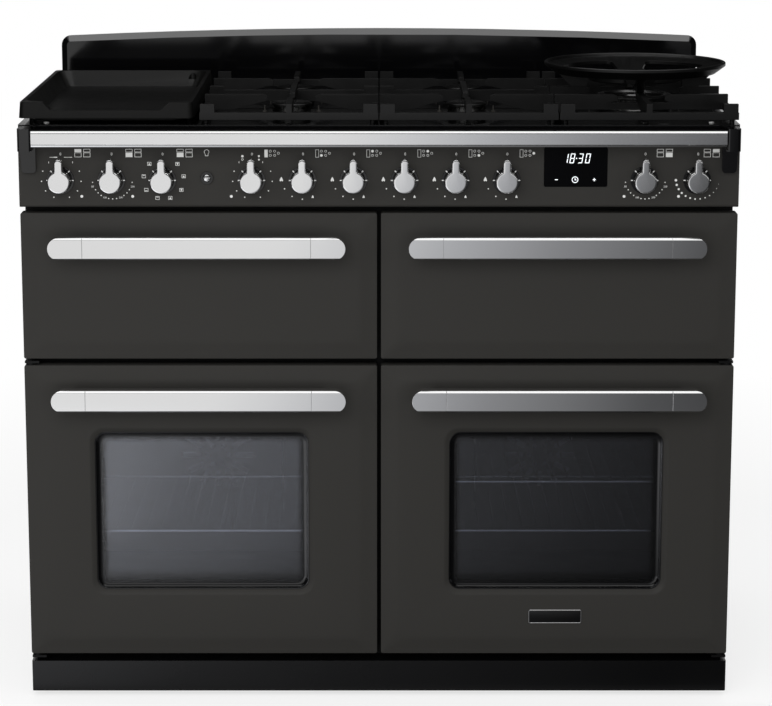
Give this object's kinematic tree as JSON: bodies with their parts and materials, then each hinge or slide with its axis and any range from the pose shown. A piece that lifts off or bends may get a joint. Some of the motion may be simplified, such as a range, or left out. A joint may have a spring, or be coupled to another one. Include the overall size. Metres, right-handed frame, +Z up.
{
  "type": "dual fuel range cooker",
  "caption": "Free-standing range cooker with two side-hung ovens, a drop-door grill, a warming drawer, gas burners, a hotplate under a griddle and a chrome handrail.",
  "frame": {"origin": "on the floor under the middle of the whole outline, handles, handrail and wok ring included", "axes": "+Z up, -Y out of the door fronts, +X to the right when facing the doors"},
  "size_m": [1.1, 0.653, 0.999],
  "materials": {
    "slate_enamel": "gloss",
    "black_enamel": "gloss",
    "cavity_enamel": "gloss speckled",
    "galvanised_steel": "satin",
    "polished_chrome": "polished",
    "satin_knob": "satin",
    "oven_wire": "polished",
    "cast_burner": "satin",
    "cap_enamel": "matt enamel",
    "cast_iron": "matt",
    "griddle_coat": "non-stick coating",
    "spark_ceramic": "glazed",
    "gas_brass": "satin",
    "switch_plastic": "matt",
    "clock_glass": "gloss",
    "hob_glass": "gloss ceramic glass",
    "window_glass": "tinted",
    "element_steel": "heat-darkened",
    "seal_rubber": "matt",
    "foot_steel": "zinc plated"
  },
  "bodies": {
    "root": {"chassis": "galvanised_steel", "side_panels": "black_enamel", "rear_panel": "galvanised_steel", "plinth": "black_enamel", "levelling_feet": "foot_steel", "hob_tray": "black_enamel", "hotplate_glass": "hob_glass", "heating_elements": "element_steel", "backguard": "black_enamel", "burner_heads": "cast_burner", "burner_caps": "cap_enamel", "igniters": "spark_ceramic", "gas_rail": "gas_brass", "switches_and_clock": "switch_plastic", "control_panel": "slate_enamel", "display_glass": "clock_glass", "handrail": "polished_chrome", "handrail_brackets": "black_enamel", "knob_bezels": "black_enamel", "grill_liner": "cavity_enamel", "grill_pan": "cavity_enamel", "telescopic_rails": "galvanised_steel", "oven_liners": "cavity_enamel", "oven_racks": "oven_wire", "fan_motors": "galvanised_steel", "oven_seals": "seal_rubber", "door_hinges": "galvanised_steel"},
    "griddle_tray": {"griddle": "griddle_coat"},
    "left_support": {"pan_support_left": "cast_iron"},
    "centre_support": {"pan_support_centre": "cast_iron"},
    "right_support": {"pan_support_right": "cast_iron"},
    "wok_stand": {"wok_ring": "cast_iron"},
    "grill_knob_body": {"grill_knob": "satin_knob"},
    "left_oven_temperature_knob_body": {"left_oven_temperature_knob": "satin_knob"},
    "left_oven_function_knob_body": {"left_oven_function_knob": "satin_knob"},
    "hotplate_knob_body": {"hotplate_knob": "satin_knob"},
    "burner_knob_1_body": {"burner_knob_1": "satin_knob"},
    "burner_knob_2_body": {"burner_knob_2": "satin_knob"},
    "burner_knob_3_body": {"burner_knob_3": "satin_knob"},
    "burner_knob_4_body": {"burner_knob_4": "satin_knob"},
    "burner_knob_5_body": {"burner_knob_5": "satin_knob"},
    "right_oven_knob_body": {"right_oven_knob": "satin_knob"},
    "drawer_knob_body": {"drawer_knob": "satin_knob"},
    "light_button_body": {"light_button": "polished_chrome"},
    "grill_door": {"grill_door_panel": "slate_enamel", "grill_door_liner": "cavity_enamel", "grill_door_handle": "polished_chrome"},
    "warming_drawer": {"drawer_front": "slate_enamel", "drawer_box": "galvanised_steel", "drawer_handle": "polished_chrome"},
    "left_oven_door": {"left_door_panel": "slate_enamel", "left_door_liner": "cavity_enamel", "left_door_glass": "window_glass", "left_door_handle": "polished_chrome"},
    "right_oven_door": {"right_door_panel": "slate_enamel", "right_door_liner": "cavity_enamel", "right_door_glass": "window_glass", "right_door_handle": "polished_chrome"},
    "left_fan": {"left_oven_fan": "galvanised_steel"},
    "right_fan": {"right_oven_fan": "galvanised_steel"}
  },
  "joints": [
    {"name": "griddle_lift", "type": "slide", "parent": "root", "child": "griddle_tray", "axis": [0, 0, 1], "range_m": [0, 0.06]},
    {"name": "left_support_lift", "type": "slide", "parent": "root", "child": "left_support", "axis": [0, 0, 1], "range_m": [0, 0.06]},
    {"name": "centre_support_lift", "type": "slide", "parent": "root", "child": "centre_support", "axis": [0, 0, 1], "range_m": [0, 0.03]},
    {"name": "right_support_lift", "type": "slide", "parent": "root", "child": "right_support", "axis": [0, 0, 1], "range_m": [0, 0.06]},
    {"name": "wok_ring_lift", "type": "slide", "parent": "right_support", "child": "wok_stand", "axis": [0, 0, 1], "range_m": [0, 0.06]},
    {"name": "grill_knob_turn", "type": "hinge", "parent": "root", "child": "grill_knob_body", "pos_m": [-0.487, -0.2815, 0.821], "axis": [0, 1, 0], "range_deg": [-160, 160]},
    {"name": "left_oven_temperature_knob_turn", "type": "hinge", "parent": "root", "child": "left_oven_temperature_knob_body", "pos_m": [-0.4097, -0.2815, 0.821], "axis": [0, 1, 0], "range_deg": [0, 270]},
    {"name": "left_oven_function_knob_turn", "type": "hinge", "parent": "root", "child": "left_oven_function_knob_body", "pos_m": [-0.3324, -0.2815, 0.821], "axis": [0, 1, 0], "range_deg": [0, 315]},
    {"name": "hotplate_knob_turn", "type": "hinge", "parent": "root", "child": "hotplate_knob_body", "pos_m": [-0.19725, -0.2815, 0.821], "axis": [0, 1, 0], "range_deg": [-160, 160]},
    {"name": "burner_knob_1_turn", "type": "hinge", "parent": "root", "child": "burner_knob_1_body", "pos_m": [-0.11995, -0.2815, 0.821], "axis": [0, 1, 0], "range_deg": [-220, 0]},
    {"name": "burner_knob_2_turn", "type": "hinge", "parent": "root", "child": "burner_knob_2_body", "pos_m": [-0.04265, -0.2815, 0.821], "axis": [0, 1, 0], "range_deg": [-220, 0]},
    {"name": "burner_knob_3_turn", "type": "hinge", "parent": "root", "child": "burner_knob_3_body", "pos_m": [0.03465, -0.2815, 0.821], "axis": [0, 1, 0], "range_deg": [-220, 0]},
    {"name": "burner_knob_4_turn", "type": "hinge", "parent": "root", "child": "burner_knob_4_body", "pos_m": [0.11195, -0.2815, 0.821], "axis": [0, 1, 0], "range_deg": [-220, 0]},
    {"name": "burner_knob_5_turn", "type": "hinge", "parent": "root", "child": "burner_knob_5_body", "pos_m": [0.18925, -0.2815, 0.821], "axis": [0, 1, 0], "range_deg": [-220, 0]},
    {"name": "right_oven_knob_turn", "type": "hinge", "parent": "root", "child": "right_oven_knob_body", "pos_m": [0.3983, -0.2815, 0.821], "axis": [0, 1, 0], "range_deg": [0, 270]},
    {"name": "drawer_knob_turn", "type": "hinge", "parent": "root", "child": "drawer_knob_body", "pos_m": [0.478, -0.2815, 0.821], "axis": [0, 1, 0], "range_deg": [0, 250]},
    {"name": "light_button_press", "type": "slide", "parent": "root", "child": "light_button_body", "axis": [0, 1, 0], "range_m": [0, 0.0025], "stiffness_N_per_m": 300},
    {"name": "grill_door_drop", "type": "hinge", "parent": "root", "child": "grill_door", "pos_m": [-0.2785, -0.2675, 0.556], "axis": [1, 0, 0], "range_deg": [0, 90]},
    {"name": "warming_drawer_slide", "type": "slide", "parent": "root", "child": "warming_drawer", "axis": [0, -1, 0], "range_m": [0, 0.4]},
    {"name": "left_oven_door_swing", "type": "hinge", "parent": "root", "child": "left_oven_door", "pos_m": [-0.541, -0.2675, 0.30155], "axis": [0, 0, -1], "range_deg": [0, 105]},
    {"name": "right_oven_door_swing", "type": "hinge", "parent": "root", "child": "right_oven_door", "pos_m": [0.533, -0.2675, 0.30155], "axis": [0, 0, 1], "range_deg": [0, 105]},
    {"name": "left_fan_spin", "type": "hinge", "parent": "root", "child": "left_fan", "pos_m": [-0.2785, 0.1925, 0.2888], "axis": [0, 1, 0], "continuous": true},
    {"name": "right_fan_spin", "type": "hinge", "parent": "root", "child": "right_fan", "pos_m": [0.2705, 0.1925, 0.2888], "axis": [0, 1, 0], "continuous": true}
  ]
}
